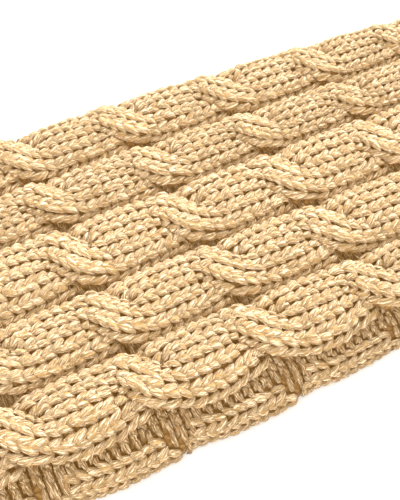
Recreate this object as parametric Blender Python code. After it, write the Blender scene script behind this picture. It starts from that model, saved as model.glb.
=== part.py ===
"""A pair of cable-knit leg warmers, laid flat side by side.

Each leg warmer is one knitted tube with a ribbed cuff at both ends, pressed flat so that its upper
layer lies on its lower one. Five rope cables run along the upper layer, with a purl gutter between
them. The tube folds in its two outermost gutters, and below them the lower layer's cables round
outwards to the table. X runs along the legs, Y across them, +Z is up, and the pair rests on Z = 0.
Lengths are in metres.
"""

import math

import bmesh
import bpy

MM = 0.001

# The knitting. Rows run across the tube, and a cable crosses once in every repeat of ten rows.
ROW = 3.75 * MM
ROWS_PER_REPEAT = 10
REPEATS = 10
CUFF_ROWS = 8
CABLES_ON_TOP = 5
CABLE_PITCH = 24.0 * MM
RIBS_PER_CABLE = 2

REPEAT = ROWS_PER_REPEAT * ROW
LEG_LENGTH = REPEATS * REPEAT
CUFF_LENGTH = CUFF_ROWS * ROW
HALF_TOP = CABLES_ON_TOP * CABLE_PITCH / 2  # from the tube's middle to the gutter that it folds in
SEAM_GAP = 0.3 * MM
PAIR_SPACING = 190.0 * MM  # from the middle of one leg warmer to the middle of the other

# One rope cable: two strands side by side, which change places at every crossing.
STRAND_OFFSET = 5.0 * MM  # from the cable's middle to a strand's middle
STRAND_HALF_WIDTH = {"pinched": 5.0 * MM, "full": 6.3 * MM}
STRAND_RISE = 4.6 * MM
STRAND_ROUNDNESS = 2.6
CROSSING_LENGTH = 15.0 * MM
CROSSING_LIFT = 1.1 * MM  # how far the upper strand rises over the lower one
CROSSING_DIVE = 3.6 * MM  # how far the lower strand sinks under it

# Heights above the table.
LOWER_INSIDE = 6.5 * MM
FOLD_INSIDE = 7.1 * MM
UPPER_INSIDE = 7.7 * MM
GUTTER_FLOOR = {"pinched": 11.0 * MM, "full": 12.2 * MM}
CUFF_VALLEY = 9.2 * MM
CUFF_RIB_RISE = 1.8 * MM
BOUND_EDGE_HEIGHT = 0.9  # share of a cuff's height that is left at its free edge

# How far the side stands out past the gutter that it folds in: the lower layer's flank, and the
# upper layer's edge.
FLANK = {"pinched": 7.2 * MM, "full": 10.5 * MM}
EDGE = {"pinched": 1.6 * MM, "full": 4.2 * MM}

# The slit inside, from the tube's middle to the fold, and how the tube draws in at its cuffs.
SLIT_HALF = 57.0 * MM
CUFF_SLIT_HALF = 52.0 * MM
SLIT_TIP = 3.0 * MM
CUFF_HALF = 61.5 * MM
CUFF_DRAW_IN = 0.96
NECK_LENGTH = 20.0 * MM
NECK_SWELL = 0.30  # share of the leg's full shape that it has already reached at the seam
BOUND_EDGE_LENGTH = 2.5 * MM

# The rows of a repeat that get a section, counted from a crossing. A section isn't straight: it
# leans with the upper strand, which runs from a cable's far side to its near side along +X.
SECTION_ROWS = (0.0, 1.4, 3.0, 5.0, 7.0, 8.6)
LEAN = 5.6 * MM

# A cable's points, as shares of half its pitch from its middle, ending in the gutter beyond it.
CABLE_COLUMNS = (-0.80, -0.54, -0.27, 0.00, 0.27, 0.54, 0.80, 1.00)

# The leg's side, from the table up to the edge of the first cable. "reach" is a share of the
# stand-out that "of" names.
SIDE_COLUMNS = (
    {"of": "flank", "reach": 0.84, "height": 0.0 * MM},
    {"of": "flank", "reach": 1.00, "height": 2.3 * MM},
    {"of": "flank", "reach": 0.83, "height": 5.0 * MM},
    {"of": "flank", "reach": 0.52, "height": 6.6 * MM},
    {"of": "edge", "reach": 0.30, "height": 7.8 * MM},
    {"of": "edge", "reach": 0.60, "height": 9.4 * MM},
    {"of": "edge", "reach": 1.00, "height": 11.4 * MM},
)
FOLD_COLUMN = 3  # the column that stands level with the fold inside

# A cuff's side, with as many columns. "reach" is a share of the cuff's half width.
CUFF_SIDE_COLUMNS = (
    {"reach": 0.965, "height": 0.0 * MM},
    {"reach": 0.995, "height": 1.6 * MM},
    {"reach": 1.000, "height": 3.6 * MM},
    {"reach": 0.990, "height": 5.2 * MM},
    {"reach": 0.990, "height": 6.4 * MM},
    {"reach": 0.985, "height": 7.8 * MM},
    {"reach": 0.955, "height": 9.4 * MM},
)

YARN_COLOUR = (0.68, 0.47, 0.24, 1.0)
CUFF_COLOUR = (0.66, 0.45, 0.23, 1.0)


def smooth(share):
    """0 to 1, levelling off at both ends."""
    share = min(1.0, max(0.0, share))
    return share * share * (3.0 - 2.0 * share)


def between(low, high, share):
    return low + (high - low) * share


def from_crossing(station):
    """How far a station lies past the crossing nearest to it, along the leg."""
    start = -LEG_LENGTH / 2 + REPEAT / 2
    return station - start - REPEAT * round((station - start) / REPEAT)


def bulge(along):
    """0 at a crossing, where the cable is pinched, and 1 midway between two of them."""
    return smooth(abs(along) / (REPEAT / 2))


def strand_height(along, across, side):
    """Height of one strand over the gutter. side is 1 for the upper strand, -1 for the lower one."""
    turn = smooth(along / CROSSING_LENGTH + 0.5)
    middle = side * STRAND_OFFSET * (1.0 - 2.0 * turn)
    slope = 3.0 * math.sin(math.pi * turn) * STRAND_OFFSET / CROSSING_LENGTH
    half_width = between(STRAND_HALF_WIDTH["pinched"], STRAND_HALF_WIDTH["full"], bulge(along))
    reach = abs(across - middle) / (half_width * math.hypot(1.0, slope))
    crest = STRAND_RISE + math.sin(math.pi * turn) * (CROSSING_LIFT if side > 0 else -CROSSING_DIVE)
    return crest * math.sqrt(max(0.0, 1.0 - reach**STRAND_ROUNDNESS))


def cable_height(along, across):
    return max(strand_height(along, across, 1), strand_height(along, across, -1))


def rib_height(across):
    """A cuff's rib over the valley beside it, at a share of half a cable's pitch from its middle."""
    return CUFF_RIB_RISE * math.sin(RIBS_PER_CABLE * math.pi * (across + 1.0) / 2.0) ** 2


def top_places():
    """The upper layer's points in order: the middle of their cable, and the share across it."""
    for cable in range(CABLES_ON_TOP):
        middle = (cable + 0.5) * CABLE_PITCH - HALF_TOP
        columns = CABLE_COLUMNS if cable < CABLES_ON_TOP - 1 else CABLE_COLUMNS[:-1]
        for across in columns:
            yield middle, across


def both_sides(side, top):
    """An outline from the near foot, up the near side, over the top and down to the far foot."""
    near = [(x, -y, z) for x, y, z in side]
    return near + top + side[::-1]


def leg_outline(station, lean_share):
    along = from_crossing(station)
    swell = bulge(along)
    stand_out = {
        "flank": between(FLANK["pinched"], FLANK["full"], swell),
        "edge": between(EDGE["pinched"], EDGE["full"], swell),
    }
    side = [
        (station, HALF_TOP + column["reach"] * stand_out[column["of"]], column["height"])
        for column in SIDE_COLUMNS
    ]
    floor = between(GUTTER_FLOOR["pinched"], GUTTER_FLOOR["full"], swell)
    top = []
    for middle, across in top_places():
        lean = -LEAN * lean_share * math.sin(math.pi * across)
        offset = across * CABLE_PITCH / 2
        crest = GUTTER_FLOOR["pinched"] + cable_height(along + lean, offset)
        top.append((station + lean, middle + offset, max(floor, crest)))
    return both_sides(side, top)


def cuff_outline(station, height_share=1.0):
    side = [
        (station, CUFF_HALF * column["reach"], column["height"] * height_share)
        for column in CUFF_SIDE_COLUMNS
    ]
    top = []
    for middle, across in top_places():
        y = CUFF_DRAW_IN * (middle + across * CABLE_PITCH / 2)
        top.append((station, y, (CUFF_VALLEY + rib_height(across)) * height_share))
    return both_sides(side, top)


def slit_outline(station, half):
    """The slit between the layers, in the same turning direction as the outlines."""
    shoulder = half - SLIT_TIP
    return [
        (station, -half, FOLD_INSIDE),
        (station, -shoulder, UPPER_INSIDE),
        (station, shoulder, UPPER_INSIDE),
        (station, half, FOLD_INSIDE),
        (station, shoulder, LOWER_INSIDE),
        (station, -shoulder, LOWER_INSIDE),
    ]


def leg_stations():
    """Sections along a leg: its two ends, and the chosen rows of every repeat between them."""
    first_crossing = -LEG_LENGTH / 2 + REPEAT / 2
    stations = {-LEG_LENGTH / 2, LEG_LENGTH / 2}
    for repeat in range(-1, REPEATS):
        for row in SECTION_ROWS:
            station = first_crossing + repeat * REPEAT + row * ROW
            if abs(station) < LEG_LENGTH / 2 - ROW:
                stations.add(station)
    return sorted(stations)


def leg_sections():
    sections = []
    for station in leg_stations():
        from_seam = LEG_LENGTH / 2 - abs(station)
        swell = between(NECK_SWELL, 1.0, smooth(from_seam / NECK_LENGTH))
        lean_share = smooth(2.0 * from_seam / REPEAT)
        gathered = cuff_outline(station)
        full = leg_outline(station, lean_share)
        sections.append([
            (leg[0], between(cuff[1], leg[1], swell), between(cuff[2], leg[2], swell))
            for cuff, leg in zip(gathered, full)
        ])
    return sections


def leg_slit():
    end = LEG_LENGTH / 2
    neck = end - NECK_LENGTH
    return [
        slit_outline(-end, CUFF_SLIT_HALF),
        slit_outline(-neck, SLIT_HALF),
        slit_outline(neck, SLIT_HALF),
        slit_outline(end, CUFF_SLIT_HALF),
    ]


def cuff_stations(end):
    """A cuff's seam, where its free edge starts to round off, and the edge itself, in order of X."""
    seam = LEG_LENGTH / 2 + SEAM_GAP
    edge = seam + CUFF_LENGTH
    return sorted(end * place for place in (seam, edge - BOUND_EDGE_LENGTH, edge))


def cuff_sections(end):
    edge = LEG_LENGTH / 2 + SEAM_GAP + CUFF_LENGTH
    return [
        cuff_outline(station, BOUND_EDGE_HEIGHT if math.isclose(abs(station), edge) else 1.0)
        for station in cuff_stations(end)
    ]


def cuff_slit(end):
    stations = cuff_stations(end)
    return [slit_outline(stations[0], CUFF_SLIT_HALF), slit_outline(stations[-1], CUFF_SLIT_HALF)]


def join_rings(bm, rings):
    """A wall of quads through closed rings that have equally many points."""
    for ring, following in zip(rings, rings[1:]):
        for i in range(len(ring)):
            j = (i + 1) % len(ring)
            bm.faces.new((ring[i], ring[j], following[j], following[i]))


def close_end(bm, ring, slit):
    """The cut face at an end, in two pieces that meet at the folds: the upper and lower layers."""
    far_fold = len(ring) - 1 - FOLD_COLUMN
    near_tip, near_upper, far_upper, far_tip, far_lower, near_lower = slit
    upper_layer = ring[FOLD_COLUMN:far_fold + 1] + [far_tip, far_upper, near_upper, near_tip]
    lower_layer = ring[far_fold:] + ring[:FOLD_COLUMN + 1]
    lower_layer += [near_tip, near_lower, far_lower, far_tip]
    bm.faces.new(upper_layer)
    bm.faces.new(lower_layer)


def knitted_tube(name, sections, slit_sections, middle_y, material, collection):
    """A flattened tube lofted through its sections, flat beneath and open along its slit."""
    bm = bmesh.new()
    rings, slits = (
        [[bm.verts.new((x, y + middle_y, z)) for x, y, z in outline] for outline in outlines]
        for outlines in (sections, slit_sections)
    )
    join_rings(bm, rings)
    join_rings(bm, slits)
    close_end(bm, rings[0], slits[0])
    close_end(bm, rings[-1], slits[-1])
    bmesh.ops.recalc_face_normals(bm, faces=bm.faces)
    mesh = bpy.data.meshes.new(name)
    bm.to_mesh(mesh)
    bm.free()
    mesh.materials.append(material)
    mesh.shade_smooth()
    mesh.set_sharp_from_angle(angle=math.radians(50))
    tube = bpy.data.objects.new(name, mesh)
    collection.objects.link(tube)
    return tube


def knit_material(name, colour, roughness):
    material = bpy.data.materials.new(name)
    material.use_nodes = True
    shader = material.node_tree.nodes["Principled BSDF"]
    shader.inputs["Base Color"].default_value = colour
    shader.inputs["Roughness"].default_value = roughness
    shader.inputs["Metallic"].default_value = 0.0
    return material


def leg_warmer(side, middle_y, cable_knit, ribbing, collection):
    knitted_tube(f"{side}_leg", leg_sections(), leg_slit(), middle_y, cable_knit, collection)
    for cuff, end in (("top_cuff", 1), ("ankle_cuff", -1)):
        knitted_tube(f"{side}_{cuff}", cuff_sections(end), cuff_slit(end), middle_y, ribbing, collection)


def main():
    for old in list(bpy.data.objects):
        bpy.data.objects.remove(old)
    collection = bpy.data.collections.new("leg_warmers")
    bpy.context.scene.collection.children.link(collection)
    cable_knit = knit_material("cable_knit", YARN_COLOUR, 0.9)
    ribbing = knit_material("ribbing", CUFF_COLOUR, 0.92)
    leg_warmer("left", PAIR_SPACING / 2, cable_knit, ribbing, collection)
    leg_warmer("right", -PAIR_SPACING / 2, cable_knit, ribbing, collection)


main()
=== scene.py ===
"""A pair of cable-knit leg warmers lying flat on a pale table, seen close to.

Each leg warmer is a ground cloth, finely shaped, with its stitches laid on it one by one: knit
stitches on the cables, sides, ribs and cast-off edges, and purl stitches in the gutters, under the
outermost cables and between the ribs. Lengths inside the knitting functions are in millimetres, and
meshes are made in metres.
"""

import math

import bpy
import numpy as np
from mathutils import Matrix, Vector


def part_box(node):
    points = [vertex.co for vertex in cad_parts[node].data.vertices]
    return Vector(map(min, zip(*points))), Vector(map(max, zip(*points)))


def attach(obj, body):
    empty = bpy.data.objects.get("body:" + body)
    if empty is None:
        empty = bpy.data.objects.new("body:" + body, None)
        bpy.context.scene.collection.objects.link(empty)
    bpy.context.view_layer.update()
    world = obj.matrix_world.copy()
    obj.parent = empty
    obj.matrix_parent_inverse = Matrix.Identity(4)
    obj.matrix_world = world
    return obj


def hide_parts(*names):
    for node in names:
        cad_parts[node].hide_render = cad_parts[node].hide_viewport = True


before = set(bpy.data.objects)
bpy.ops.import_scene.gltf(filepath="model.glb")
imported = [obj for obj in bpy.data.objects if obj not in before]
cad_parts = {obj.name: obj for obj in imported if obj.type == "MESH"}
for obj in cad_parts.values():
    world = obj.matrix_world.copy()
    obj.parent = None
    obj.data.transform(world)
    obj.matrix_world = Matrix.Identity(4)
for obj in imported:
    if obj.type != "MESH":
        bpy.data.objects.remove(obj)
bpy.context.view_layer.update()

MM = 0.001

# The knitting, as the solids have it, in millimetres.
REPEAT = 37.5
ROW = REPEAT / 12
CUFF_LENGTH = 30.0
CUFF_ROWS = 9
CABLES_ON_TOP = 5
CABLE_PITCH = 24.0
HALF_TOP = CABLES_ON_TOP * CABLE_PITCH / 2
WALES_PER_STRAND = 3
WALES_PER_GUTTER = 2
SEAM_GAP = 0.3

LEG_LOW, LEG_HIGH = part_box("left_leg")
LEG_LENGTH = (LEG_HIGH.x - LEG_LOW.x) / MM

# How far each cable's crossings, near to far, and the notches in the two sides are shifted along
# the leg from an even layout.
CABLE_SHIFTS = (2.0, 1.8, -1.4, -1.2, -4.2)
SIDE_SHIFTS = {-1: 7.8, 1: -4.0}

# A cable's crossing.
STRAND_OFFSET = 5.3  # from the cable's middle to a strand's middle
TURNS = ({"length": 12.0, "share": 0.72}, {"length": 26.0, "share": 0.28})
CROSSING_REACH = 11.5  # the strands leave their cable's arch this near to a crossing
LEAVES_ARCH = 1.25  # over 1: the strands are free of the arch before the crossing itself
STRAND_LIFT = 2.6
STRAND_DIVE = 4.0
DIVE_ONSET = 2.5  # how early the lower strand dives, against how far it has left the arch
DIVES_AT = {"clear": 9.4, "under": 4.6}  # from the upper strand's middle line
HIDDEN_WITHIN = 3.6  # the lower strand has no stitches this near to the upper one's middle line
ROW_LEAN = 0.62  # how far a row turns with the strand that it crosses
CABLE_FOOT = 10.4  # height of a cable's foot above the table
CROWDING = 0.92  # how far the rows at a crossing keep their spacing along the strands
PINCH = {"width": 0.92, "rise": 0.84}  # a cable at a crossing, as shares of it midway
PATH_SAMPLES = 3001
CURVE_SAMPLES = 181

# The gutter between cables, through the middle of its yarn.
GUTTER_FLOOR = {"pinched": 9.5, "full": 10.9}
GUTTER_HALF = {"pinched": 3.7, "full": 2.0}
GUTTER_SAG = 0.9

# The fold: how far the outermost cables' edges stand out over it, and how far they drop.
EDGES = {-1: {"pinched": 0.6, "full": 2.9}, 1: {"pinched": -0.7, "full": -0.2}}
EDGE_DROP = 1.3

# The side, from the purl gutter under the outermost cable down to the table, through the middle of
# its yarn: one line for each edge between wales, counted outwards.
SIDE_HEIGHTS = (9.6, 8.3, 6.7, 4.2, 0.9)
SIDE_EDGES = {
    -1: {"pinched": (-5.0, -0.8, 4.0, 7.6, 9.0), "full": (-1.2, 1.4, 5.2, 7.9, 9.1)},
    1: {"pinched": (-5.4, -3.6, -1.2, 1.2, 2.8), "full": (-3.2, -1.4, 0.8, 2.8, 4.2)},
}
SIDE_WALES = len(SIDE_HEIGHTS) - 1
# How far each side steps in past a notch, at the table, and how far along the leg it does so.
SIDE_STEPS = {-1: {"in": 1.5, "length": 14.0}, 1: {"in": 0.0, "length": 14.0}}
STEP_WIDTH = 1.0  # a side steps in over this length, midway at its notch
SIDE_PURLED = 2.0  # wales of purl under the outermost cable
SIDE_PURLS = {-1: (0.33, 1.00, 1.67), 1: (0.5, 1.5)}  # places of its columns of bumps
# The knit wales below, and how near to a notch they are purled too.
SIDE_KNITS = ({"wale": 2.5, "purl_near_notch": 4.0}, {"wale": 3.5, "purl_near_notch": 1.8})

# The ribbed cuffs, through the middle of their yarn.
CUFF_WALE = 2.88
WALES_PER_RIB = 4  # two knit and two purl
CUFF_TOP_WALES = 20  # from a cuff's middle to where its side rounds down
CUFF_VALLEY = 8.4
CUFF_RISE = {"top": 1.7, "side": 0.85}
CUFF_SIDE_EDGES = (
    {"out": 54.7, "height": 8.4},
    {"out": 57.6, "height": 8.3},
    {"out": 59.9, "height": 7.0},
    {"out": 60.6, "height": 4.4},
    {"out": 60.1, "height": 1.7},
    {"out": 58.0, "height": 0.6},
)
CUFF_SIDE_WALES = len(CUFF_SIDE_EDGES) - 2
CUFF_STATIONS = 8
CUFF_ROUNDS_FROM = 2.0  # from a cuff's end
CUFF_END = ({"back": 0.8, "share": 0.94}, {"back": 0.0, "share": 0.86})

# The cast-off edge of a cuff: a chain of stitches round the end of each of its two layers.
CAST_OFF_ROW = 4.8
CAST_OFF_CHAINS = (
    {"half_length": 56.5, "height": 3.2, "wale": 4.2, "out": -0.2},
    {"half_length": 54.0, "height": 8.6, "wale": 2.9, "out": 0.5},
)
CAST_OFF_ROUNDING = 3.2

# How the cloth happens to lie: shifts across and along the leg, at places along it, for lines of
# the even cloth at y. Nothing shifts at the two seams.
LIES_AT = (-187.5, -75.0, -20.0, 50.0, 100.0, 187.5)
LIES = (
    {"y": -70.0, "across": (0.0, -0.9, 0.0, 5.2, 3.2, 0.0), "along": (0.0, 0.0, 0.5, 1.5, 1.0, 0.0)},
    {"y": -62.0, "across": (0.0, 1.4, 1.0, 2.0, 1.3, 0.0), "along": (0.0, 0.0, 0.5, 1.5, 1.0, 0.0)},
    {"y": -36.0, "across": (0.0, -1.3, -0.5, -2.0, -1.3, 0.0), "along": (0.0, 0.5, 0.5, 1.4, 0.9, 0.0)},
    {"y": -12.0, "across": (0.0, -1.8, -0.5, -1.1, -0.7, 0.0), "along": (0.0, 0.0, 0.5, 2.0, 1.3, 0.0)},
    {"y": 12.0, "across": (0.0, 1.9, 1.2, 1.9, 1.2, 0.0), "along": (0.0, 0.5, 1.0, 3.5, 2.2, 0.0)},
    {"y": 36.0, "across": (0.0, -1.2, -0.7, -2.5, -2.4, 0.0), "along": (0.0, 0.0, 2.0, 5.0, 3.2, 0.0)},
    {"y": 60.0, "across": (0.0, -0.8, 0.6, -1.6, -4.2, 0.0), "along": (0.0, 0.0, 2.0, 6.0, 3.8, 0.0)},
)

# The neck, where the leg draws in to its cuffs.
NECK_LENGTH = 20.0
NECK_SWELL = 0.30
NECK_NARROWS = 0.04
NECK_FLATTENS = 0.36
NECK_FLANK = 0.58

# The slit between the two layers: half its width in the leg and in a cuff, and its pointed tips.
SLIT = {"leg": 57.0, "cuff": 52.0, "tip": 3.0}
SLIT_HEIGHT = {"lower": 6.5, "fold": 7.1, "upper": 7.7}

# The ground cloth: how far it lies behind the stitches, and how finely it is shaped.
GROUND_SINK = 0.9
GROUND_COLUMN = 1.45
GROUND_TOP_HALF = 58.0  # half the width of its top, between the sides
GROUND_SIDE = {"least": 0.7, "step": 0.25}  # wales
UNDERSIDE_COLUMNS = 12
CUFF_COLUMNS_PER_WALE = 2
STRAND_SAMPLES = 31
BELOW_ALL = -99.0
GROUND_CREASE = math.radians(50)

WALE = 4.3  # width of a wale over the cloth

# How uneven the knitting is: size is a share, lean and across are wales, along and height are mm.
UNEVEN = {"size": 0.07, "lean": 0.06, "along": 0.18, "across": 0.03, "height": 0.10}
YARN_SLIDES = 40.0  # each stitch shows another stretch of its yarn's pattern

rng = np.random.default_rng(11)


def smooth(share):
    share = np.clip(share, 0.0, 1.0)
    return share * share * (3.0 - 2.0 * share)


def between(low, high, share):
    return low + (high - low) * share


def bulge(along):
    """0 at a crossing, where the cable is pinched, and 1 midway between two of them."""
    return smooth(np.abs(along) / (REPEAT / 2))


def nearest_crossing(x, shift):
    first = -LEG_LENGTH / 2 + REPEAT / 2 + shift
    return first + REPEAT * np.round((x - first) / REPEAT)


def curve_through(values, place):
    """A smooth curve through values that lie one apart, read at a place from 0 to their last."""
    index = np.clip(np.floor(place), 0, len(values) - 2).astype(int)
    share = place - index
    picked = [
        np.choose(np.clip(index + shift, 0, len(values) - 1), values) for shift in (-1, 0, 1, 2)
    ]
    before, low, high, after = picked
    low_slope, high_slope = (high - before) / 2, (after - low) / 2
    rest = 1.0 - share
    return (
        low * (1.0 + 2.0 * share) * rest**2 + high * (3.0 - 2.0 * share) * share**2
        + low_slope * share * rest**2 - high_slope * share**2 * rest
    )


def cable_rows(shift):
    """Places of a cable's rows, which crowd together along the leg where the strands cross."""
    x = np.linspace(-LEG_LENGTH / 2, LEG_LENGTH / 2, PATH_SAMPLES)
    _, slope = upper_strand(x - nearest_crossing(x, shift))
    path = np.cumsum(np.hypot(1.0, CROWDING * slope))
    count = round(LEG_LENGTH / ROW)
    return np.interp(between(path[0], path[-1], (np.arange(count) + 0.5) / count), path, x)


def section_curve(half_width, rise, roundness):
    """A superellipse from the near foot over the crest to the far foot, in equal steps of length."""
    turn = np.linspace(-math.pi / 2, math.pi / 2, CURVE_SAMPLES)
    power = 2.0 / roundness
    y = half_width * np.sign(np.sin(turn)) * np.abs(np.sin(turn)) ** power
    z = rise * np.cos(turn) ** power
    length = np.concatenate([[0.0], np.cumsum(np.hypot(np.diff(y), np.diff(z)))])
    share = 2.0 * length / length[-1] - 1.0
    return {"share": share, "y": y, "z": z, "half_length": length[-1] / 2}


# The cloth's section over a whole cable and over one strand, for the stitches and for the ground.
STITCHES = {
    "cable": section_curve(half_width=11.3, rise=4.9, roundness=2.1),
    "strand": section_curve(half_width=5.6, rise=3.0, roundness=2.2),
    "rows_lean": True,
}
GROUND = {
    "cable": section_curve(half_width=10.5, rise=3.9, roundness=2.1),
    "strand": section_curve(half_width=4.8, rise=2.0, roundness=2.2),
    "rows_lean": False,
}


def on_curve(curve, share):
    """Places on a section curve. Past its feet the curve runs straight down."""
    inside = np.clip(share, -1.0, 1.0)
    over = np.abs(share - inside) * curve["half_length"]
    y = np.interp(inside, curve["share"], curve["y"])
    z = np.interp(inside, curve["share"], curve["z"]) - over
    return y, z


def crossing_turn(along):
    """How far two strands have changed places, 0 to 1, and how fast they do so."""
    turn = rate = 0.0
    for part in TURNS:
        share = np.clip(along / part["length"] + 0.5, 0.0, 1.0)
        turn = turn + part["share"] * smooth(share)
        rate = rate + part["share"] * 6.0 * share * (1.0 - share) / part["length"]
    return turn, rate


def upper_strand(along):
    """The upper strand's middle at a place along its cable, and how steeply it crosses."""
    turn, rate = crossing_turn(along)
    return STRAND_OFFSET * (1.0 - 2.0 * turn), 2.0 * STRAND_OFFSET * rate


def strand_point(along, wale, side, cloth):
    """A place on one strand of a cable: along from the crossing, wale -1.5 to 1.5 from near to far.

    side is 1 for the upper strand, which starts on the far side, and -1 for the lower one.
    """
    turn, _ = crossing_turn(along)
    swell = bulge(along)
    half = WALES_PER_STRAND / 2
    y_before, z_before = on_curve(cloth["cable"], (side * half + wale) / (2 * half))
    y_after, z_after = on_curve(cloth["cable"], (-side * half + wale) / (2 * half))
    y_arch = between(y_before, y_after, turn) * between(PINCH["width"], 1.0, swell)
    z_arch = between(z_before, z_after, turn) * between(PINCH["rise"], 1.0, swell)
    own_y, own_z = on_curve(cloth["strand"], wale / half)
    crossing = smooth(LEAVES_ARCH * (1.0 - np.abs(along) / CROSSING_REACH))
    upper_middle, slope = upper_strand(along)
    middle = side * upper_middle
    if cloth["rows_lean"]:
        y = between(y_arch, middle + own_y, crossing)
        x = along + ROW_LEAN * side * slope / np.hypot(1.0, slope) * (y - middle)
    else:
        y = between(y_arch, middle + own_y * np.hypot(1.0, slope), crossing)
        x = along
    over_it, slope = upper_strand(x)
    distance = np.abs(y - over_it) / np.hypot(1.0, slope)
    under = smooth((DIVES_AT["clear"] - distance) / (DIVES_AT["clear"] - DIVES_AT["under"]))
    dive = STRAND_DIVE * under * smooth(DIVE_ONSET * crossing)
    lift = np.where(side > 0, STRAND_LIFT * crossing, -dive)
    return x, y, between(z_arch, own_z, crossing) + lift


def fold_over(x, y, z, swell):
    """Spreads the outermost cables' outer halves over the fold, and draws the leg in at its ends."""
    past = np.maximum(np.abs(y) - (HALF_TOP - CABLE_PITCH / 2), 0.0) / (CABLE_PITCH / 2)
    edge = np.where(
        y < 0, between(EDGES[-1]["pinched"], EDGES[-1]["full"], swell),
        between(EDGES[1]["pinched"], EDGES[1]["full"], swell),
    )
    y = y + np.sign(y) * edge * past**1.5
    z = z - EDGE_DROP * past**3
    return draw_in(x, y, z)


def draw_in(x, y, z):
    """Draws the leg in at its two ends, and lays it as it happens to lie."""
    from_seam = LEG_LENGTH / 2 - np.abs(x)
    left = 1.0 - between(NECK_SWELL, 1.0, smooth(from_seam / NECK_LENGTH))
    flank = np.maximum(np.abs(y) - HALF_TOP, 0.0)
    along, across = lie(x, y)
    y = y * (1.0 - NECK_NARROWS * left) - np.sign(y) * flank * NECK_FLANK * left
    z = z * (1.0 - NECK_FLATTENS * left)
    return x + along, y + across, z


def lie(x, y):
    """How far a place of the even cloth lies off, along the leg and across it."""
    along = across = 0.0
    lines = [line["y"] for line in LIES]
    for number, line in enumerate(LIES):
        weight = np.interp(y, lines, np.arange(len(LIES)) == number)
        along = along + weight * np.interp(x, LIES_AT, line["along"])
        across = across + weight * np.interp(x, LIES_AT, line["across"])
    return along, across


def stacked(x, y, z):
    return np.stack(np.broadcast_arrays(x, y, z), axis=-1)


def cable_surface(crossing, side, middle):
    """The cloth of one cable: places by x along the leg and wale, for strands at given crossings."""
    def place(x, wale):
        along, y, z = strand_point(x - crossing, wale, side, STITCHES)
        swell = bulge(x - crossing)
        return stacked(*fold_over(along + crossing, y + middle, z + CABLE_FOOT, swell))
    return place


def gutter_surface(crossing, middle):
    """The cloth of one gutter: places by x along the leg and wale from its middle."""
    def place(x, wale):
        swell = bulge(x - crossing)
        across = 2.0 * wale / WALES_PER_GUTTER
        floor = between(GUTTER_FLOOR["pinched"], GUTTER_FLOOR["full"], swell)
        half = between(GUTTER_HALF["pinched"], GUTTER_HALF["full"], swell)
        return stacked(*draw_in(x, middle + half * across, floor + GUTTER_SAG * across**2))
    return place


def side_surface(side):
    """A side of the leg: wale is negative on the near side and positive on the far side."""
    shift, lines, step = SIDE_SHIFTS[side], SIDE_EDGES[side], SIDE_STEPS[side]

    def place(x, wale):
        past = x - nearest_crossing(x, shift)
        swell = bulge(past)
        edges = [between(*edge, swell) for edge in zip(lines["pinched"], lines["full"])]
        drawn = smooth(past / STEP_WIDTH + 0.5) * (1.0 - smooth(past / step["length"]))
        out = curve_through(edges, np.abs(wale)) - step["in"] * drawn * np.abs(wale) / SIDE_WALES
        height = curve_through(SIDE_HEIGHTS, np.abs(wale))
        return stacked(*draw_in(x, np.sign(wale) * (HALF_TOP + out), height))
    return place


def rib_share(wale):
    """How far a place on a cuff stands out as rib: 0 in a valley of two purl wales, 1 on a rib."""
    return np.sin(math.pi * wale / WALES_PER_RIB) ** 2


def cuff_surface(x, wale):
    """The cloth of a cuff before its ribs rise: places by x and by wale from its middle."""
    over = np.abs(wale)
    on_side = np.clip(over - CUFF_TOP_WALES, 0.0, None) + 1.0
    out = curve_through([edge["out"] for edge in CUFF_SIDE_EDGES], on_side)
    height = curve_through([edge["height"] for edge in CUFF_SIDE_EDGES], on_side)
    flat = over < CUFF_TOP_WALES
    y = np.where(flat, CUFF_WALE * over, out)
    z = np.where(flat, CUFF_VALLEY, height)
    return stacked(x, np.sign(wale) * y, z)


def ribbed_surface(x, wale):
    rise = np.where(np.abs(wale) > CUFF_TOP_WALES, CUFF_RISE["side"], CUFF_RISE["top"])
    return lay(cuff_surface, x, wale, rise * rib_share(wale))


def cast_off_surface(chain, end):
    """The end of one layer of a cuff: places by x along its edge and wale up it."""
    edge = LEG_LENGTH / 2 + SEAM_GAP + CUFF_LENGTH + chain["out"]

    def place(x, wale):
        out = edge - CAST_OFF_ROUNDING * wale**2
        return stacked(end * out, end * x, chain["height"] + chain["wale"] * wale)
    return place


def lay(surface, x, wale, height):
    """Places a height over a surface, along its own normal."""
    step, least = 0.05, 1e-9
    along = surface(x + step, wale) - surface(x - step, wale)
    across = surface(x, wale + step) - surface(x, wale - step)
    normal = np.cross(along, across)
    normal /= np.maximum(np.linalg.norm(normal, axis=-1, keepdims=True), least)
    return surface(x, wale) + normal * np.asarray(height)[..., None]


# One leg of a knit stitch, from its root in the stitch before to its head behind the next one.
# along: rows. across: wales from the wale's middle. height, width: mm.
LEG_RINGS = (
    {"along": -0.32, "across": 0.06, "height": -1.10, "width": 0.00},
    {"along": -0.06, "across": 0.17, "height": 0.00, "width": 1.95},
    {"along": 0.32, "across": 0.28, "height": 0.66, "width": 2.50},
    {"along": 0.76, "across": 0.38, "height": 0.60, "width": 2.50},
    {"along": 1.14, "across": 0.45, "height": 0.10, "width": 2.15},
    {"along": 1.42, "across": 0.48, "height": -0.95, "width": 0.00},
)
FAR_LEG_RINGS = (
    {"along": -0.32, "across": 0.06, "height": -1.10, "width": 0.00},
    {"along": 0.10, "across": 0.20, "height": 0.25, "width": 2.20},
    {"along": 0.56, "across": 0.33, "height": 0.68, "width": 2.55},
    {"along": 1.02, "across": 0.42, "height": 0.27, "width": 2.30},
    {"along": 1.42, "across": 0.48, "height": -0.95, "width": 0.00},
)

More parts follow.
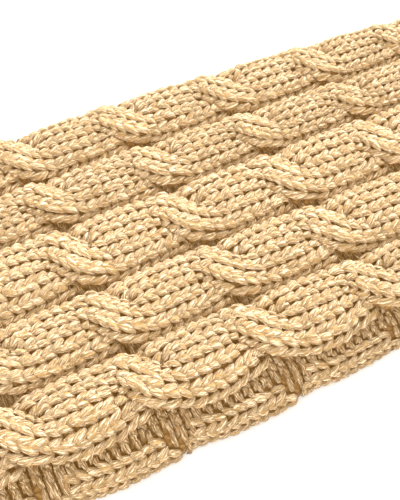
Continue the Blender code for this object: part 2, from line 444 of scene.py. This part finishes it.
# One purl bump: a short arc of yarn across a wale. along: rows. across: wales.
PURL_RINGS = (
    {"along": -0.18, "across": -0.66, "height": -0.90, "width": 0.00},
    {"along": 0.04, "across": -0.42, "height": 0.00, "width": 1.55},
    {"along": 0.14, "across": 0.00, "height": 0.50, "width": 1.90},
    {"along": 0.04, "across": 0.42, "height": 0.00, "width": 1.55},
    {"along": -0.18, "across": 0.66, "height": -0.90, "width": 0.00},
)
NEAR_SIDES = 6
FAR_SIDES = 5
YARN_FLATNESS = 0.66  # the yarn's depth, as a share of its width
SAME_PLACE = 1e-4


def select_place(axis, place):
    """Selects the edit mesh's points at a place along an axis, and nothing else."""
    bpy.ops.mesh.select_all(action="DESELECT")
    bpy.ops.object.mode_set(mode="OBJECT")
    for vertex in bpy.context.object.data.vertices:
        vertex.select = abs(vertex.co[axis] - place) < SAME_PLACE
    bpy.ops.object.mode_set(mode="EDIT")


def yarn_bead(rings, sides, lengthwise):
    """One short length of yarn: a sphere whose rings are sized and set along the yarn's path.

    lengthwise is True where the yarn runs along the wale, and False where it runs across it.
    """
    bpy.ops.object.select_all(action="DESELECT")
    count = len(rings) - 1
    turned = (0.0, math.pi / 2, 0.0) if lengthwise else (-math.pi / 2, 0.0, 0.0)
    bpy.ops.mesh.primitive_uv_sphere_add(
        segments=sides, ring_count=count, radius=1.0, rotation=turned
    )
    bead = bpy.context.object
    bpy.ops.object.transform_apply(location=True, rotation=True, scale=True)
    axis = 0 if lengthwise else 1
    bpy.ops.object.mode_set(mode="EDIT")
    bpy.ops.mesh.select_mode(type="VERT")
    for number, ring in enumerate(rings):
        place = -math.cos(math.pi * number / count)
        spread = math.sin(math.pi * number / count)
        select_place(axis, place)
        if ring["width"] > 0:
            size = ring["width"] / 2 / spread
            across = size / (WALE if lengthwise else ROW)
            deep = size * YARN_FLATNESS
            scale = (1.0, across, deep) if lengthwise else (across, 1.0, deep)
            centre = (place, 0.0, 0.0) if lengthwise else (0.0, place, 0.0)
            bpy.ops.transform.resize(value=scale, center_override=centre)
        shift = [ring["along"], ring["across"], ring["height"]]
        shift[axis] -= place
        bpy.ops.transform.translate(value=shift)
    bpy.ops.object.mode_set(mode="OBJECT")
    shape = read_bead(bead)
    bpy.data.objects.remove(bead)
    return shape


def read_bead(bead):
    """The bead as arrays. Its faces are sorted, so that each run has them in the same order."""
    mesh = bead.data
    faces = sorted(mesh.polygons, key=lambda face: tuple(face.vertices))
    loops = [number for face in faces for number in face.loop_indices]
    totals = np.array([face.loop_total for face in faces])
    return {
        "points": np.array([vertex.co for vertex in mesh.vertices]),
        "uv": np.array([mesh.uv_layers.active.data[number].uv for number in loops]),
        "corners": np.array([mesh.loops[number].vertex_index for number in loops]),
        "starts": np.cumsum(totals) - totals,
        "totals": totals,
    }


def reversed_faces(shape):
    """The bead for a mirror image: faces turned the other way, and the yarn's twist kept."""
    corners, uv = shape["corners"].copy(), shape["uv"].copy()
    for start, total in zip(shape["starts"], shape["totals"]):
        order = start + np.arange(total)[::-1]
        corners[start:start + total] = shape["corners"][order]
        uv[start:start + total] = shape["uv"][order]
    return {**shape, "corners": corners, "uv": uv * (-1.0, 1.0)}


def new_mesh(name, points, corners, starts, totals, material):
    mesh = bpy.data.meshes.new(name)
    mesh.vertices.add(len(points))
    mesh.vertices.foreach_set("co", (points * MM).astype(np.float32).ravel())
    mesh.loops.add(len(corners))
    mesh.loops.foreach_set("vertex_index", corners.astype(np.int32))
    mesh.polygons.add(len(starts))
    mesh.polygons.foreach_set("loop_start", starts.astype(np.int32))
    mesh.polygons.foreach_set("loop_total", totals.astype(np.int32))
    mesh.update(calc_edges=True)
    mesh.materials.append(material)
    return mesh


def add_uv(mesh, name, uv):
    layer = mesh.uv_layers.new(name=name)
    layer.data.foreach_set("uv", uv.astype(np.float32).ravel())


def add_attribute(mesh, name, values):
    attribute = mesh.attributes.new(name, "FLOAT", "POINT")
    attribute.data.foreach_set("value", values.astype(np.float32))


def add_piece(name, mesh):
    piece = bpy.data.objects.new(name, mesh)
    bpy.context.scene.collection.objects.link(piece)
    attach(piece, "root")
    return piece


def yarn_mesh(name, batches, material):
    """One mesh of many beads. Each batch is a bead and the placed points of all its copies."""
    points, corners, uv, starts, totals, shades, tuck_shades = [], [], [], [], [], [], []
    vertex_count = loop_count = 0
    for shape, placed in batches:
        copies, per_copy = placed.shape[0], placed.shape[1]
        loops = len(shape["corners"])
        offsets = vertex_count + per_copy * np.arange(copies)[:, None]
        loop_offsets = loop_count + loops * np.arange(copies)[:, None]
        points.append(placed.reshape(-1, 3))
        corners.append((shape["corners"][None, :] + offsets).ravel())
        starts.append((shape["starts"][None, :] + loop_offsets).ravel())
        totals.append(np.tile(shape["totals"], copies))
        slide = rng.uniform(0.0, YARN_SLIDES, (copies, 1, 1)) * np.array([0.0, 1.0])
        uv.append((shape["uv"][None] + slide).reshape(-1, 2))
        shades.append(np.repeat(rng.uniform(0.0, 1.0, copies), per_copy))
        # Painted shade: each point's tuck, 0 on the bead's crest and 1 at its ends that tuck under the
        # next stitches, darkens the yarn's colour.
        height = shape["points"][:, 2]
        tuck_shade = (height.max() - height) / (height.max() - height.min())
        tuck_shades.append(np.tile(tuck_shade, copies))
        vertex_count += copies * per_copy
        loop_count += copies * loops
    mesh = new_mesh(
        name, np.concatenate(points), np.concatenate(corners), np.concatenate(starts),
        np.concatenate(totals), material,
    )
    add_uv(mesh, "yarn", np.concatenate(uv))
    add_attribute(mesh, "shade", np.concatenate(shades))
    add_attribute(mesh, "tuck_shade", np.concatenate(tuck_shades))
    mesh.shade_smooth()
    return mesh


def bent(shape, surface, x, wale, row=ROW, hand=1.0, turned=1.0):
    """Copies of a bead at cells (x, wale) of a surface. Knitting runs towards -x.

    hand is -1 for a mirror image across the wale, and a smaller number for a narrower bead.
    turned is -1 for a mirror image along the wale.
    """
    count = len(x)
    x, wale, row = x[:, None], wale[:, None], np.broadcast_to(row, count)[:, None]
    size = rng.normal(1.0, UNEVEN["size"], (count, 1))
    lean = rng.normal(0.0, UNEVEN["lean"], (count, 1))
    along, across, high = shape["points"].T[:, None, :]
    x = x - turned * row * along + rng.normal(0.0, UNEVEN["along"], (count, 1))
    wale = wale + hand * across * size + rng.normal(0.0, UNEVEN["across"], (count, 1))
    wale = wale + lean * (along - 0.5)
    height = high * size + rng.normal(0.0, UNEVEN["height"], (count, 1))
    points = lay(surface, x, wale, height)
    points[..., 2] = np.maximum(points[..., 2], 0.0)
    return points


def knit_stitches(leg, surface, x, wale, row=ROW):
    """The two legs of each knit stitch."""
    return [
        (reversed_faces(leg), bent(leg, surface, x, wale, row)),
        (leg, bent(leg, surface, x, wale, row, hand=-1.0)),
    ]


def purl_stitches(purl, surface, x, wale, width=1.0):
    """The two arcs of each purl stitch, which curve apart, half a wale from each other."""
    return [
        (reversed_faces(purl), bent(purl, surface, x, wale, hand=width)),
        (purl, bent(purl, surface, x + ROW / 2, wale + width / 2, hand=width, turned=-1.0)),
    ]


def row_places(length):
    return -length / 2 + ROW * (0.5 + np.arange(round(length / ROW)))


def cells(x, wales, sides=(0.0,)):
    """Every stitch's place, as three equally long arrays: x, wale and side."""
    grids = np.meshgrid(x, np.array(wales, dtype=float), np.array(sides), indexing="ij")
    return [grid.ravel() for grid in grids]


def cable_batches(leg, number):
    """The knit stitches of one cable, without those that its upper strand hides."""
    shift = CABLE_SHIFTS[number]
    rows = cable_rows(shift)
    x, wale, side = cells(rows, (-1, 0, 1), (1, -1))
    row = np.interp(x, rows, np.gradient(rows))
    crossing = nearest_crossing(x, shift)
    over_it, slope = upper_strand(x - crossing)
    lower = -over_it + wale * STRAND_OFFSET * 2 / WALES_PER_STRAND
    distance = np.abs(lower - over_it) / np.hypot(1.0, slope)
    hidden = (side < 0) & (distance < HIDDEN_WITHIN)
    x, wale, side, row, crossing = (values[~hidden] for values in (x, wale, side, row, crossing))
    surface = cable_surface(crossing[:, None], side[:, None], cable_middle(number))
    return knit_stitches(leg, surface, x, wale, row)


def cable_middle(number):
    return (number + 0.5) * CABLE_PITCH - HALF_TOP


def gutter_batches(purl):
    """The purl stitches of the four gutters between the cables."""
    batches = []
    for number in range(1, CABLES_ON_TOP):
        middle = number * CABLE_PITCH - HALF_TOP
        shift = (CABLE_SHIFTS[number - 1] + CABLE_SHIFTS[number]) / 2
        x, wale, _ = cells(row_places(LEG_LENGTH), (-0.5, 0.5))
        crossing = nearest_crossing(x, shift)
        surface = gutter_surface(crossing[:, None], middle)
        batches += purl_stitches(purl, surface, x, wale)
    return batches


def side_batches(leg, purl):
    """The knit stitches and the purl stitches of the two sides."""
    knitted, purls = [], []
    for side, shift in SIDE_SHIFTS.items():
        surface = side_surface(side)
        x = row_places(LEG_LENGTH)
        width = SIDE_PURLED / len(SIDE_PURLS[side])
        for wale in SIDE_PURLS[side]:
            purls += purl_stitches(purl, surface, x, np.full(len(x), side * wale), width)
        from_notch = np.abs(x - nearest_crossing(x, shift))
        for column in SIDE_KNITS:
            purled = from_notch < column["purl_near_notch"]
            wales = np.full(len(x), side * column["wale"])
            purls += purl_stitches(purl, surface, x[purled], wales[purled])
            knitted += knit_stitches(leg, surface, x[~purled], wales[~purled])
    return knitted, purls


def cuff_batches(leg, purl, end):
    """The ribs, the purl wales between them and the cast-off edge of one cuff."""
    start = LEG_LENGTH / 2 + SEAM_GAP
    x = end * (start + CUFF_LENGTH / CUFF_ROWS * (0.5 + np.arange(CUFF_ROWS)))
    numbers = np.arange(-CUFF_TOP_WALES - CUFF_SIDE_WALES, CUFF_TOP_WALES + CUFF_SIDE_WALES)
    knit = numbers[np.isin(numbers % WALES_PER_RIB, (1, 2))] + 0.5
    purled = numbers[np.isin(numbers % WALES_PER_RIB, (0, 3))] + 0.5
    knit_x, knit_wale, _ = cells(x, knit)
    purl_x, purl_wale, _ = cells(x, purled)
    return (
        knit_stitches(leg, ribbed_surface, knit_x, knit_wale)
        + purl_stitches(purl, ribbed_surface, purl_x, purl_wale)
        + cast_off_batches(leg, end)
    )


def cast_off_batches(leg, end):
    """The two chains at a cuff's end, each one knit wale that lies along the edge."""
    batches = []
    for chain in CAST_OFF_CHAINS:
        half = chain["half_length"]
        x = np.linspace(-half, half, round(2 * half / CAST_OFF_ROW))
        surface = cast_off_surface(chain, end)
        batches += knit_stitches(leg, surface, x, np.zeros(len(x)), CAST_OFF_ROW)
    return batches


def ground_height(x, y):
    """Heights of the ground cloth's top at one station x, over places y before the fold."""
    height = np.full(len(y), BELOW_ALL)
    samples = np.linspace(-WALES_PER_STRAND / 2, WALES_PER_STRAND / 2, STRAND_SAMPLES)
    for number in range(CABLES_ON_TOP):
        crossing = nearest_crossing(x, CABLE_SHIFTS[number])
        for side in (1, -1):
            _, across, rise = strand_point(x - crossing, samples, side, GROUND)
            own = np.interp(y, cable_middle(number) + across, CABLE_FOOT + rise,
                            left=BELOW_ALL, right=BELOW_ALL)
            height = np.maximum(height, own)
    for number in range(CABLES_ON_TOP + 1):
        middle = number * CABLE_PITCH - HALF_TOP
        shift = np.interp(number - 0.5, range(CABLES_ON_TOP), CABLE_SHIFTS)
        swell = bulge(x - nearest_crossing(x, shift))
        floor = between(GUTTER_FLOOR["pinched"], GUTTER_FLOOR["full"], swell) - GROUND_SINK
        near = np.abs(y - middle) <= CABLE_PITCH / 2
        height = np.where(near, np.maximum(height, floor), height)
    return height


def side_ring(side, x):
    """The ground cloth's side at one station, from the table up."""
    wales = np.arange(SIDE_WALES, GROUND_SIDE["least"], -GROUND_SIDE["step"])
    points = lay(side_surface(side), np.full(len(wales), x), side * wales,
                 np.full(len(wales), -GROUND_SINK))
    points[0, 2] = 0.0
    return points


def leg_ring(x):
    """The ground cloth's outline at one station: near side up, over the top, far side down."""
    y = np.linspace(-GROUND_TOP_HALF, GROUND_TOP_HALF, round(2 * GROUND_TOP_HALF / GROUND_COLUMN))
    swell = bulge(x - nearest_crossing(x, CABLE_SHIFTS[0]))
    top = stacked(*fold_over(np.full(len(y), x), y, ground_height(x, y), swell))
    return closed_ring(side_ring(-1, x), top, side_ring(1, x))


def closed_ring(near, top, far):
    """An outline's three parts, closed by its flat underside."""
    low, high = near[0], far[0]
    share = np.linspace(0.0, 1.0, UNDERSIDE_COLUMNS + 1)[1:-1, None]
    under = high + (low - high) * share
    return np.concatenate([near, top, far[::-1], under])


def cuff_ring(x, share):
    """A cuff's outline at one station, at a share of its full height."""
    half = CUFF_TOP_WALES + CUFF_SIDE_WALES
    wale = np.linspace(-half, half, 2 * half * CUFF_COLUMNS_PER_WALE + 1)
    points = lay(ribbed_surface, np.full(len(wale), x), wale, np.full(len(wale), -GROUND_SINK))
    points[:, 2] = np.maximum(points[:, 2] * share, 0.0)
    points[[0, -1], 2] = 0.0
    low, high = points[0], points[-1]
    spread = np.linspace(0.0, 1.0, UNDERSIDE_COLUMNS + 1)[1:-1, None]
    return np.concatenate([points, high + (low - high) * spread])


def slit_ring(x, half):
    """The slit's outline at one station, from the near fold over its upper side and back."""
    shoulder = half - SLIT["tip"]
    return np.array([
        (x, -half, SLIT_HEIGHT["fold"]),
        (x, -shoulder, SLIT_HEIGHT["upper"]),
        (x, shoulder, SLIT_HEIGHT["upper"]),
        (x, half, SLIT_HEIGHT["fold"]),
        (x, shoulder, SLIT_HEIGHT["lower"]),
        (x, -shoulder, SLIT_HEIGHT["lower"]),
    ])


def tube_mesh(name, rings, slits, at, material):
    """A closed tube with a slit right through it. Its UV map counts wales and rows."""
    points, faces, uv = [], [], []

    def add_wall(wall):
        first = sum(len(part) for part in points)
        count = len(wall[0])
        points.extend(wall)
        for row, (ring, following) in enumerate(zip(wall, wall[1:])):
            steps = np.linalg.norm(np.diff(ring, axis=0, append=ring[:1]), axis=1)
            places = np.concatenate([[0.0], np.cumsum(steps)]) / WALE
            low, high = ring[0][0] / ROW, following[0][0] / ROW
            for i in range(count):
                j = (i + 1) % count
                a = first + row * count
                faces.append((a + i, a + j, a + count + j, a + count + i))
                left, right = places[i], places[i + 1]
                uv.extend([(left, low), (right, low), (right, high), (left, high)])
        return first, first + (len(wall) - 1) * count, count

    outer = add_wall(rings)
    inner = add_wall(slits)
    ring_count, slit_count = outer[2], inner[2]
    all_points = np.concatenate(points)
    for ring_start, slit_start in zip(outer[:2], inner[:2]):
        ring = list(range(ring_start, ring_start + ring_count))
        slit = list(range(slit_start, slit_start + slit_count))
        for face in end_faces(all_points, ring, slit):
            faces.append(face)
            uv.extend((all_points[v][1] / WALE, all_points[v][2] / WALE) for v in face)
    totals = np.array([len(face) for face in faces])
    starts = np.concatenate([[0], np.cumsum(totals)[:-1]])
    corners = np.array([v for face in faces for v in face])
    mesh = new_mesh(name, all_points + at, corners, starts, totals, material)
    add_uv(mesh, "cloth", np.array(uv))
    return mesh


def end_faces(points, ring, slit):
    """The end between an outline and the slit, in two pieces that meet at the folds."""
    fold = SLIT_HEIGHT["fold"]
    heights = points[ring][:, 2]
    half = len(ring) // 2
    near = int(np.argmin(np.abs(heights[:half // 3] - fold)))
    top_count = len(ring) - UNDERSIDE_COLUMNS + 1
    far = top_count - 1 - near
    near_tip, near_upper, far_upper, far_tip, far_lower, near_lower = slit
    upper = ring[near:far + 1] + [far_tip, far_upper, near_upper, near_tip]
    lower = ring[far:] + ring[:near + 1] + [near_tip, near_lower, far_lower, far_tip]
    return [tuple(upper), tuple(lower)]


def face_outwards(piece):
    """Turns every face of a closed piece outwards."""
    bpy.ops.object.select_all(action="DESELECT")
    piece.select_set(True)
    bpy.context.view_layer.objects.active = piece
    bpy.ops.object.mode_set(mode="EDIT")
    bpy.ops.mesh.select_all(action="SELECT")
    bpy.ops.mesh.normals_make_consistent(inside=False)
    bpy.ops.object.mode_set(mode="OBJECT")
    bpy.ops.object.shade_smooth_by_angle(angle=GROUND_CREASE)


def leg_cloth(name, at, material):
    stations = np.linspace(-LEG_LENGTH / 2, LEG_LENGTH / 2, round(LEG_LENGTH / ROW) + 1)
    end = LEG_LENGTH / 2
    slits = [
        slit_ring(-end, SLIT["cuff"]), slit_ring(NECK_LENGTH - end, SLIT["leg"]),
        slit_ring(end - NECK_LENGTH, SLIT["leg"]), slit_ring(end, SLIT["cuff"]),
    ]
    mesh = tube_mesh(name, [leg_ring(x) for x in stations], slits, at, material)
    piece = add_piece(name, mesh)
    face_outwards(piece)
    return piece


def cuff_cloth(name, end, at, material):
    seam = LEG_LENGTH / 2 + SEAM_GAP
    edge = seam + CUFF_LENGTH
    even = np.linspace(seam, edge - CUFF_ROUNDS_FROM, CUFF_STATIONS)
    places = np.concatenate([even, [edge - station["back"] for station in CUFF_END]])
    shares = [1.0] * CUFF_STATIONS + [station["share"] for station in CUFF_END]
    order = np.argsort(end * places)
    rings = [cuff_ring(end * places[i], shares[i]) for i in order]
    slits = [slit_ring(rings[i][0][0], SLIT["cuff"]) for i in (0, -1)]
    mesh = tube_mesh(name, rings, slits, at, material)
    piece = add_piece(name, mesh)
    face_outwards(piece)
    return piece


class Tree:
    """A node tree that is filled in by short calls."""

    def __init__(self, tree):
        self.tree = tree

    def node(self, kind, settings=None, **inputs):
        node = self.tree.nodes.new(kind)
        for name, value in (settings or {}).items():
            setattr(node, name, value)
        for name, value in inputs.items():
            self.set(node, name, value)
        return node

    def set(self, node, name, value):
        """Sets or links an input, by its name with _ for a space, or by its number as i0 or i1."""
        key = int(name[1:]) if name[0] == "i" and name[1:].isdigit() else name.replace("_", " ")
        socket = node.inputs[key]
        if isinstance(value, bpy.types.NodeSocket):
            self.tree.links.new(value, socket)
        else:
            socket.default_value = value

    def math(self, operation, *values):
        node = self.tree.nodes.new("ShaderNodeMath")
        node.operation = operation
        for number, value in enumerate(values):
            self.set(node, f"i{number}", value)
        return node.outputs[0]


def new_group(name, inputs, outputs):
    group = bpy.data.node_groups.new(name, "ShaderNodeTree")
    for socket, kind, default in inputs:
        made = group.interface.new_socket(socket, in_out="INPUT", socket_type=kind)
        made.default_value = default
    for socket, kind in outputs:
        group.interface.new_socket(socket, in_out="OUTPUT", socket_type=kind)
    return group, Tree(group)


def mixed(tree, share, low, high):
    """A colour between two colours. A mix node's sockets share names, so they go by number."""
    node = tree.node("ShaderNodeMix", {"data_type": "RGBA"})
    tree.set(node, "i0", share)
    tree.set(node, "i6", low)
    tree.set(node, "i7", high)
    return node.outputs[2]


def twisted_yarn_group():
    """Fluffy yarn of a few twisted plies, with painted shade and painted highlight in its colour. UV:
    once round the yarn by V along it.
    """
    group, tree = new_group(
        "twisted_yarn",
        [("Shadow Colour", "NodeSocketColor", (0.42, 0.240, 0.088, 1.0)),
         ("Colour", "NodeSocketColor", (0.63, 0.438, 0.204, 1.0)),
         ("Light Colour", "NodeSocketColor", (0.94, 0.740, 0.505, 1.0)),
         ("Plies", "NodeSocketFloat", 5.0),
         ("Twist", "NodeSocketFloat", 0.28)],
        [("Colour", "NodeSocketColor"), ("Height", "NodeSocketFloat")],
    )
    given = tree.node("NodeGroupInput").outputs
    place = tree.node("ShaderNodeUVMap", {"uv_map": "yarn"}).outputs["UV"]
    uv = tree.node("ShaderNodeSeparateXYZ", Vector=place).outputs
    turn = tree.math("MULTIPLY", tree.math("MULTIPLY_ADD", uv[1], given["Twist"], uv[0]), 2 * math.pi)
    cosine, sine = tree.math("COSINE", turn), tree.math("SINE", turn)
    fibre_place = tree.node("ShaderNodeCombineXYZ", X=cosine, Y=sine,
                            Z=tree.math("MULTIPLY", uv[1], 0.9)).outputs[0]
    fine = tree.node("ShaderNodeTexNoise", Vector=fibre_place, Scale=4.6, Detail=2.0,
                     Roughness=0.6).outputs[0]
    coarse = tree.node("ShaderNodeTexNoise", Vector=fibre_place, Scale=1.2, Detail=1.0).outputs[0]
    wander = tree.math("MULTIPLY", coarse, 5.0)
    plies = tree.math("ABSOLUTE", tree.math("SINE", tree.math(
        "MULTIPLY_ADD", tree.math("MULTIPLY", turn, given["Plies"]), 0.5, wander)))
    fibres = tree.node("ShaderNodeMapRange", Value=fine, From_Min=0.43, From_Max=0.57).outputs[0]
    shade = tree.node("ShaderNodeAttribute", {"attribute_name": "shade"}).outputs["Fac"]
    tuck_shade = tree.node("ShaderNodeAttribute", {"attribute_name": "tuck_shade"}).outputs["Fac"]
    # Lighter towards Light Colour at random for each stitch, along the fibre streaks, which are partly
    # the yarn's uneven tone and partly painted highlight, and on the ply crests, as painted highlight.
    light = tree.math("ADD", tree.math("MULTIPLY", fibres, 1.05), tree.math("MULTIPLY", shade, 0.12))
    light = tree.math("MULTIPLY_ADD", plies, 0.34, tree.math("SUBTRACT", light, 0.28))
    lit = mixed(tree, light, given["Colour"], given["Light Colour"])
    # Painted shade: darker towards Shadow Colour where a bead's ends tuck under its neighbours, and in
    # the grooves between the plies and between the fibres.
    dark = tree.node("ShaderNodeMapRange", Value=tuck_shade, From_Min=0.58, From_Max=1.10).outputs[0]
    groove = tree.math("MULTIPLY", tree.math("SUBTRACT", 1.0, plies), 0.45)
    groove = tree.math("MULTIPLY_ADD", tree.math("SUBTRACT", 1.0, fibres), 0.52, groove)
    dark = tree.math("MAXIMUM", dark, groove)
    colour = mixed(tree, dark, lit, given["Shadow Colour"])
    height = tree.math("ADD", tree.math("MULTIPLY", plies, 0.7), tree.math("MULTIPLY", fibres, 1.1))
    height = tree.math("MULTIPLY_ADD", coarse, 0.6, height)
    tree.node("NodeGroupOutput", Colour=colour, Height=height)
    return group


def knit_rows_group():
    """Rows of knit stitches, for the ground behind the stitches and the plain underside. Their dark
    colour is painted shade for the depths between the stitches; the underside gets it too.
    """
    group, tree = new_group(
        "knit_rows",
        # Painted shade: both colours are far darker than the yarn's, for the depths between the
        # stitches.
        [("Shadow Colour", "NodeSocketColor", (0.18, 0.08, 0.018, 1.0)),
         ("Colour", "NodeSocketColor", (0.38, 0.22, 0.08, 1.0))],
        [("Colour", "NodeSocketColor"), ("Height", "NodeSocketFloat")],
    )
    given = tree.node("NodeGroupInput").outputs
    place = tree.node("ShaderNodeUVMap", {"uv_map": "cloth"}).outputs["UV"]
    uv = tree.node("ShaderNodeSeparateXYZ", Vector=place).outputs
    across = tree.math("ABSOLUTE", tree.math("SUBTRACT", tree.math("FRACT", uv[0]), 0.5))
    slant = tree.math("MULTIPLY_ADD", across, 1.7, uv[1])
    row = tree.math("ABSOLUTE", tree.math("SUBTRACT", tree.math("FRACT", slant), 0.5))
    legs = tree.math("SUBTRACT", 1.0, tree.math("MULTIPLY", row, 1.8))
    split = tree.math("MULTIPLY", tree.math("SINE", tree.math("MULTIPLY", across, 2 * math.pi)), 1.6)
    height = tree.math("MULTIPLY", legs, tree.math("MINIMUM", split, 1.0))
    fibre_place = tree.node("ShaderNodeCombineXYZ", X=tree.math("MULTIPLY", slant, 3.0),
                            Y=tree.math("MULTIPLY", uv[0], 5.0)).outputs[0]
    fibres = tree.node("ShaderNodeTexNoise", Vector=fibre_place, Scale=3.0, Detail=2.0).outputs[0]
    # Painted shade: darker in the dips between the legs of the rows.
    share = tree.math("MULTIPLY_ADD", fibres, 0.5, tree.math("MULTIPLY", height, 0.7))
    colour = mixed(tree, share, given["Shadow Colour"], given["Colour"])
    tree.node("NodeGroupOutput", Colour=colour,
              Height=tree.math("MULTIPLY_ADD", fibres, 0.2, height))
    return group


# The fluffy yarn's surface. Its faint warm glow is painted light: a constant emission that stands in
# for light coming through the fibres.
SURFACE = {
    "Roughness": 0.85,
    "Specular IOR Level": 0.15,
    # Painted light: a faint warm glow on the yarn and the ground cloths.
    "Emission Color": (0.075, 0.034, 0.003, 1.0),
    "Emission Strength": 1.0,
    "Sheen Weight": 0.10,
    "Sheen Roughness": 0.45,
    "Sheen Tint": (1.0, 0.92, 0.78, 1.0),
}

# The same yarn on the cables, in the gutters, under the outermost cables and on the ribs. In the
# gutters and under the outermost cables it is darker, as painted shade for the recesses.
YARNS = {
    "camel_yarn": {},
    # Painted shade: darker, for the recessed gutters between the cables.
    "gutter_yarn": {
        "Shadow Colour": (0.18, 0.075, 0.016, 1.0),
        "Colour": (0.38, 0.215, 0.075, 1.0),
        "Light Colour": (0.76, 0.56, 0.32, 1.0),
    },
    # Painted shade: darker, for the purl bumps under the outermost cables' overhang, less so than in
    # the gutters.
    "side_gutter_yarn": {
        "Shadow Colour": (0.24, 0.105, 0.024, 1.0),
        "Colour": (0.47, 0.285, 0.110, 1.0),
        "Light Colour": (0.88, 0.68, 0.43, 1.0),
    },
    "rib_yarn": {"Twist": 0.34},
}
# The ground cloths behind the stitches, in the dark colours of painted shade.
GROUNDS = ("cable_ground", "rib_ground")
RELIEF = {"yarn": 0.45, "ground": 0.8}


def knit_material(name, group, values, relief):
    material = bpy.data.materials.new(name)
    material.use_nodes = True
    tree = Tree(material.node_tree)
    shader = material.node_tree.nodes["Principled BSDF"]
    for socket, value in SURFACE.items():
        shader.inputs[socket].default_value = value
    pattern = tree.node("ShaderNodeGroup", {"node_tree": group})
    for socket, value in values.items():
        pattern.inputs[socket].default_value = value
    raised = tree.node("ShaderNodeBump", Height=pattern.outputs["Height"], Distance=relief * MM)
    tree.set(shader, "Base_Color", pattern.outputs["Colour"])
    tree.set(shader, "Normal", raised.outputs["Normal"])
    return material


def left_and_right():
    """Each leg warmer's name and the place of its middle line, from its solid."""
    for name in ("left", "right"):
        low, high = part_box(f"{name}_leg")
        yield name, np.array([0.0, (low.y + high.y) / 2 / MM, 0.0])


def placed(batches, at):
    return [(shape, points + at) for shape, points in batches]


def knit_finishes():
    twisted, rows = twisted_yarn_group(), knit_rows_group()
    finishes = {
        name: knit_material(name, twisted, values, RELIEF["yarn"]) for name, values in YARNS.items()
    }
    for name in GROUNDS:
        finishes[name] = knit_material(name, rows, {}, RELIEF["ground"])
    return finishes


def leg_warmer(side, at, leg, purl, finishes):
    """One leg warmer: its ground cloths, and the stitches that lie on them as pieces of their own."""
    yarn = finishes["camel_yarn"]
    for number in range(CABLES_ON_TOP):
        name = f"{side}_cable_{number + 1}"
        mesh = yarn_mesh(name, placed(cable_batches(leg, number), at), yarn)
        add_piece(name, mesh)
    side_knits, side_purls = side_batches(leg, purl)
    for part, batches, finish in (
        ("gutters", gutter_batches(purl), finishes["gutter_yarn"]),
        ("side_gutters", side_purls, finishes["side_gutter_yarn"]),
        ("sides", side_knits, yarn),
    ):
        name = f"{side}_{part}"
        add_piece(name, yarn_mesh(name, placed(batches, at), finish))
    cloth = leg_cloth(f"{side}_leg_cloth", at, finishes["cable_ground"])
    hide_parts(f"{side}_leg")
    for cuff, end in (("top_cuff", 1), ("ankle_cuff", -1)):
        name = f"{side}_{cuff}_ribs"
        mesh = yarn_mesh(name, placed(cuff_batches(leg, purl, end), at), finishes["rib_yarn"])
        ribs = add_piece(name, mesh)
        cloth = cuff_cloth(f"{side}_{cuff}_cloth", end, at, finishes["rib_ground"])
        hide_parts(f"{side}_{cuff}")


def stitch_shapes(leg_rings, sides):
    return {
        "leg": yarn_bead(leg_rings, sides, lengthwise=True),
        "purl": yarn_bead(PURL_RINGS, sides, lengthwise=False),
    }


def knit_pair():
    finishes = knit_finishes()
    near = stitch_shapes(LEG_RINGS, NEAR_SIDES)
    far = stitch_shapes(FAR_LEG_RINGS, FAR_SIDES)
    for side, at in left_and_right():
        beads = near if side == "left" else far
        leg_warmer(side, at, beads["leg"], beads["purl"], finishes)


# The table, the lights and the camera, in metres.
TABLE_SIZE = 6.0
TABLE_COLOUR = (0.8, 0.8, 0.79, 1.0)
AMBIENT = {"colour": (1.0, 0.97, 0.91, 1.0), "strength": 1.30}
LIGHTS_AIM = (-0.05, 0.05, 0.0)
LIGHTS = (
    {"place": (0.66, 1.16, 0.80), "size": 0.8, "watts": 49.0},
    {"place": (-0.55, -0.85, 0.75), "size": 1.0, "watts": 13.0},
)
SENSOR = 36.0  # mm
FOCAL_LENGTH = 1.52  # as a share of the frame's height
CAMERA_PLACE = (-0.08095, -0.0448, 0.2101)
CAMERA_RIGHT = (0.900, -0.435, 0.006)
CAMERA_BACK = (-0.256, -0.518, 0.816)


def lay_table():
    bpy.ops.object.select_all(action="DESELECT")
    bpy.ops.mesh.primitive_plane_add(size=TABLE_SIZE, location=(0.0, 0.0, 0.0))
    table = bpy.context.object
    table.name = "table"
    white = bpy.data.materials.new("white_table")
    white.use_nodes = True
    white.node_tree.nodes["Principled BSDF"].inputs["Base Color"].default_value = TABLE_COLOUR
    table.data.materials.append(white)


def light_studio():
    world = bpy.data.worlds.new("studio")
    bpy.context.scene.world = world
    world.use_nodes = True
    background = world.node_tree.nodes["Background"]
    background.inputs["Color"].default_value = AMBIENT["colour"]
    background.inputs["Strength"].default_value = AMBIENT["strength"]
    for light in LIGHTS:
        bpy.ops.object.light_add(type="AREA", location=light["place"])
        lamp = bpy.context.object
        lamp.data.shape = "DISK"
        lamp.data.size = light["size"]
        lamp.data.energy = light["watts"]
        aim = Vector(LIGHTS_AIM) - lamp.location
        lamp.rotation_euler = aim.to_track_quat("-Z", "Y").to_euler()


def place_camera():
    data = bpy.data.cameras.new("camera")
    data.sensor_width = SENSOR
    data.lens = SENSOR * FOCAL_LENGTH
    data.clip_start = 0.01
    camera = bpy.data.objects.new("camera", data)
    bpy.context.scene.collection.objects.link(camera)
    back = Vector(CAMERA_BACK).normalized()
    up = back.cross(Vector(CAMERA_RIGHT)).normalized()
    right = up.cross(back).normalized()
    turned = Matrix((right, up, back)).transposed().to_4x4()
    camera.matrix_world = Matrix.Translation(Vector(CAMERA_PLACE)) @ turned
    bpy.context.scene.camera = camera
    bpy.context.scene.view_settings.view_transform = "Standard"


knit_pair()
lay_table()
light_studio()
place_camera()
